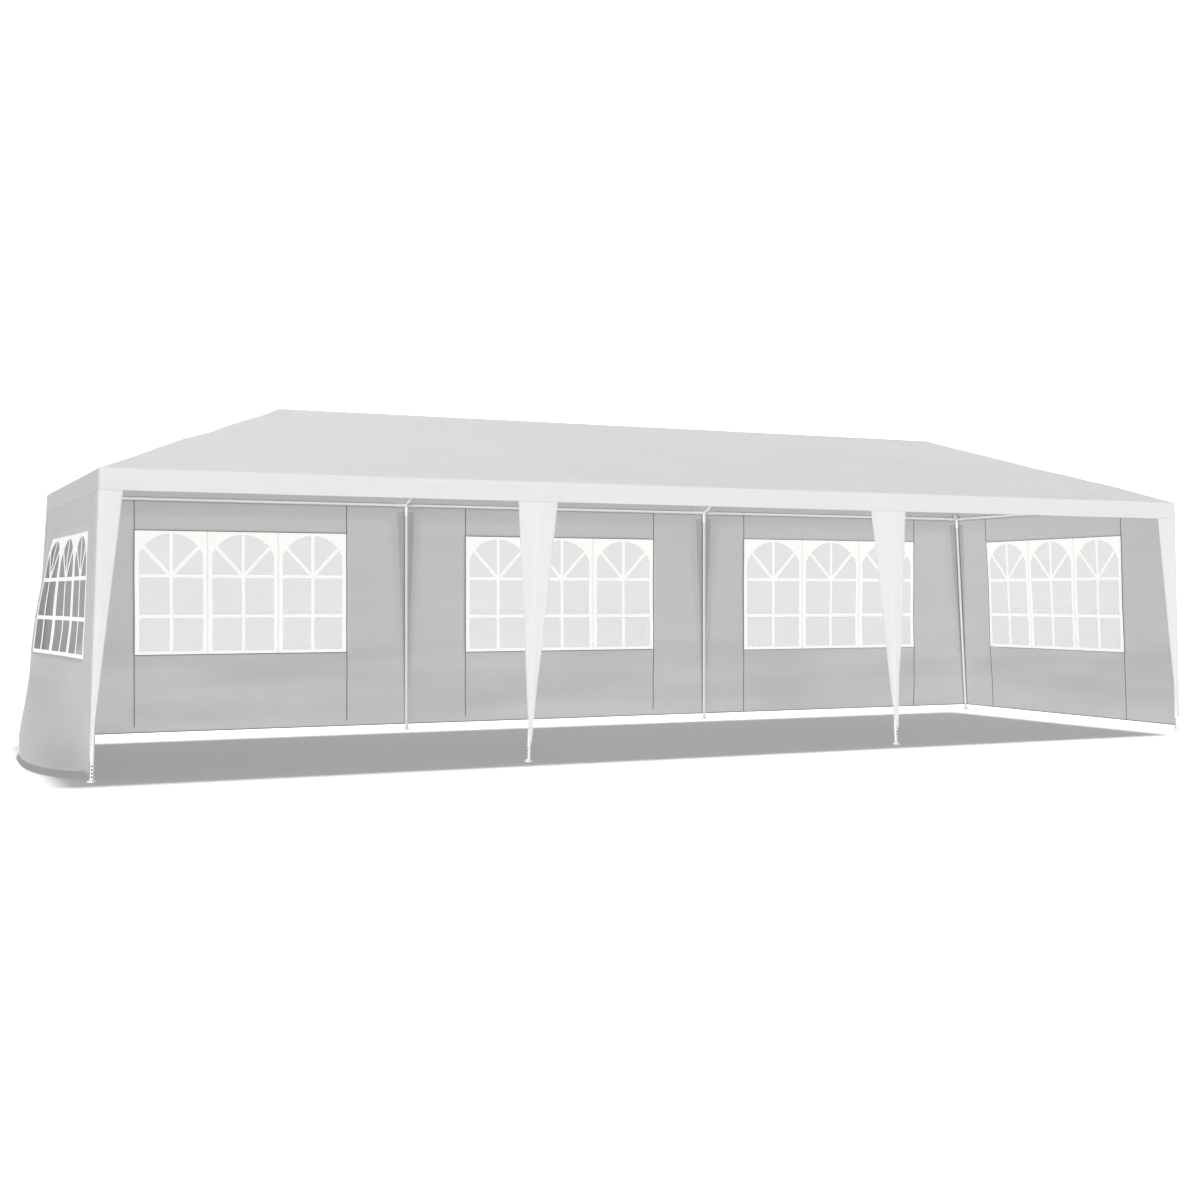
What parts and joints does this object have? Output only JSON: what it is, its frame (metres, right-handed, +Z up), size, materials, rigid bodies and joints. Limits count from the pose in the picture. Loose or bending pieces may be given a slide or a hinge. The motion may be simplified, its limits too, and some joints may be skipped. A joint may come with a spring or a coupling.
{
  "type": "marquee tent",
  "caption": "White party tent on a steel tube frame: hipped cloth roof with a straight valance, windowed walls on the back and both ends, and an open front.",
  "frame": {"origin": "On the ground at the middle of the plan, which is the middle of the bounding box's base.", "axes": "+Z up, +X along the ridge to the right as seen from the open front, and +Y from the open front to the back walls."},
  "size_m": [9.302, 3.062, 2.6063],
  "materials": {
    "leg_steel": "white powder coat, satin",
    "joint_steel": "white powder coat, satin",
    "rail_steel": "white powder coat, satin",
    "roof_cloth": "coated woven polyethylene, matt with a slight sheen",
    "skirt_cloth": "coated woven polyethylene, matt with a slight sheen",
    "wall_cloth": "coated woven polyethylene, matt with a slight sheen",
    "clear_sheet": "clear soft film, glossy"
  },
  "bodies": {
    "root": {"leg_front_left": "leg_steel", "leg_front_mid_left": "leg_steel", "leg_front_mid_right": "leg_steel", "leg_front_right": "leg_steel", "leg_rear_left": "leg_steel", "leg_rear_mid_left": "leg_steel", "leg_rear_mid_right": "leg_steel", "leg_rear_right": "leg_steel", "corner_joint_front_left": "joint_steel", "corner_joint_front_right": "joint_steel", "corner_joint_rear_left": "joint_steel", "corner_joint_rear_right": "joint_steel", "eave_rail_front": "rail_steel", "eave_rail_rear": "rail_steel", "eave_rail_left": "rail_steel", "eave_rail_right": "rail_steel", "ridge_rail": "rail_steel", "rafter_front_left": "rail_steel", "rafter_front_right": "rail_steel", "rafter_rear_left": "rail_steel", "rafter_rear_right": "rail_steel", "hip_rafter_front_left": "rail_steel", "hip_rafter_front_right": "rail_steel", "hip_rafter_rear_left": "rail_steel", "hip_rafter_rear_right": "rail_steel", "roof_front": "roof_cloth", "roof_rear": "roof_cloth", "roof_left": "roof_cloth", "roof_right": "roof_cloth", "valance_front": "skirt_cloth", "valance_rear": "skirt_cloth", "valance_left": "skirt_cloth", "valance_right": "skirt_cloth", "wall_rear_left": "wall_cloth", "wall_rear_middle": "wall_cloth", "wall_rear_right": "wall_cloth", "wall_left": "wall_cloth", "wall_right": "wall_cloth", "window_rear_left": "clear_sheet", "window_rear_middle": "clear_sheet", "window_rear_right": "clear_sheet", "window_left": "clear_sheet", "window_right": "clear_sheet"}
  },
  "joints": []
}
